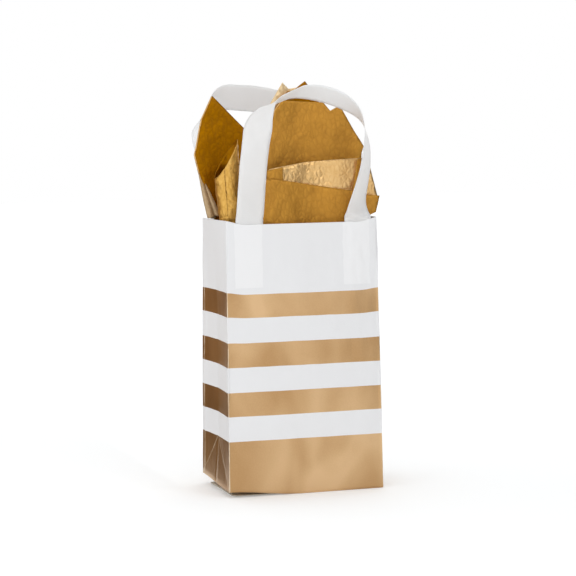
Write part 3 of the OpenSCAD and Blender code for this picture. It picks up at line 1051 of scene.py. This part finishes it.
def add_camera():
    """The camera, left of the bag's front and a little above its middle."""
    sin_a, cos_a = math.sin(CAMERA_AZIMUTH), math.cos(CAMERA_AZIMUTH)
    sin_e, cos_e = math.sin(CAMERA_ELEVATION), math.cos(CAMERA_ELEVATION)
    ahead = Vector((sin_a * cos_e, cos_a * cos_e, -sin_e))
    right = Vector((cos_a, -sin_a, 0))
    up = right.cross(ahead)
    across = right * math.cos(CAMERA_ROLL) - up * math.sin(CAMERA_ROLL)
    upward = right * math.sin(CAMERA_ROLL) + up * math.cos(CAMERA_ROLL)
    data = bpy.data.cameras.new("camera")
    data.lens = FOCAL_LENGTH
    data.sensor_width = 36
    camera = bpy.data.objects.new("camera", data)
    bpy.context.scene.collection.objects.link(camera)
    place = right * CAMERA_ACROSS + up * CAMERA_RISE - ahead * CAMERA_DISTANCE + Vector((0, 0, CAMERA_LIFT))
    turned = Matrix((across, upward, -ahead)).transposed().to_4x4()
    camera.matrix_world = Matrix.Translation(place) @ turned
    bpy.context.scene.camera = camera


def add_plane(name, corners, material):
    """One four-cornered piece of the stage."""
    plane = make_object(name, corners, [(0, 1, 2, 3)], [material])
    return plane


FLOOR_HALF = 6.0


def add_floor():
    s = Shader("floor", Roughness=0.9)
    s.bsdf.inputs["Base Color"].default_value = (*FLOOR_WHITE, 1)
    s.bsdf.inputs["Emission Color"].default_value = (*FLOOR_GLOW, 1)
    s.bsdf.inputs["Emission Strength"].default_value = FLOOR_GLOW_STRENGTH
    corners = [Vector((x * FLOOR_HALF, y * FLOOR_HALF, 0)) for x, y in ((-1, -1), (1, -1), (1, 1), (-1, 1))]
    add_plane("floor", corners, s.material)


# Name, colour and corners in metres of each flag
FLAGS = (
    ("flag_left", (0.24, 0.13, 0.045),
     ((-0.78, 0.34, 0), (-0.10, 0.58, 0), (-0.10, 0.58, 0.75), (-0.78, 0.34, 0.75))),
    ("flag_floor", (0.16, 0.09, 0.03),
     ((-0.95, 0.02, 0), (-0.085, 0.02, 0), (-0.085, 0.58, 0), (-0.78, 0.34, 0))),
    ("flag_right", (0.05, 0.05, 0.05),
     ((0.42, -0.62, 0), (0.75, -0.05, 0), (0.75, -0.05, 0.6), (0.42, -0.62, 0.6))),
)


def add_flags():
    """Dim cards that the camera doesn't see, mirrored in the left gusset's and the front's gold."""
    for name, colour, corners in FLAGS:
        s = Shader(name, Roughness=1.0)
        s.bsdf.inputs["Base Color"].default_value = (*colour, 1)
        flag = add_plane(name, [Vector(c) + Vector((0, 0, 0.5 * MM)) for c in corners], s.material)
        flag.visible_camera = False
        flag.visible_diffuse = name == "flag_right"
        flag.visible_shadow = False
        flag.visible_transmission = False


def add_light(name, place, target, size, power):
    """A round area light at place, facing target."""
    data = bpy.data.lights.new(name, "AREA")
    data.shape = "DISK"
    data.size = size
    data.energy = power
    light = bpy.data.objects.new(name, data)
    bpy.context.scene.collection.objects.link(light)
    light.location = place
    light.rotation_mode = "QUATERNION"
    light.rotation_quaternion = (Vector(target) - Vector(place)).to_track_quat("-Z", "Y")


def add_world():
    """Even white light from all round, and plain colour handling."""
    world = bpy.data.worlds.new("studio")
    world.use_nodes = True
    world.node_tree.nodes["Background"].inputs["Color"].default_value = (1, 1, 1, 1)
    world.node_tree.nodes["Background"].inputs["Strength"].default_value = 1.0
    bpy.context.scene.world = world
    bpy.context.scene.view_settings.view_transform = "Standard"


# ---- Putting it together -------------------------------------------------------------------------

add_camera()
add_world()
add_floor()
add_flags()
add_light("key", place=(0.9, -1.8, 1.3), target=(0, 0, 0.15), size=1.0, power=4.5)

film, film_inside = film_material(), film_inner_material()
shell = film_shell(film, film_inside)
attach(shell, "bag")
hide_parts("front_panel", "back_panel", "left_gusset", "right_gusset",
            "front_hem", "back_hem", "left_hem", "right_hem")

seam = back_seam_piece(film_inside)
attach(seam, "bag")
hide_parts("back_seam")

gold_film = folded_gold_material()
for node, piece in bottom_pieces(gold_film):
    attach(piece, "bag")
    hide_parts(node)

strip = handle_material()
for side_name, stations, side, lean in (
    ("front", FRONT_STATIONS, -1, FRONT_LEAN), ("back", BACK_STATIONS, 1, BACK_LEAN)
):
    piece = handle(side_name + "_handle_strip", stations, side, lean, strip)
    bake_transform(piece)
    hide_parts(side_name + "_handle_loop",
                side_name + "_left_handle_tab", side_name + "_right_handle_tab")

board = base_board(board_material())
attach(board, "board")
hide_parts("base_board")

for piece, node, body, flat, area in tissue_pieces():
    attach(piece, body)
    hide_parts(node)

bpy.context.view_layer.update()
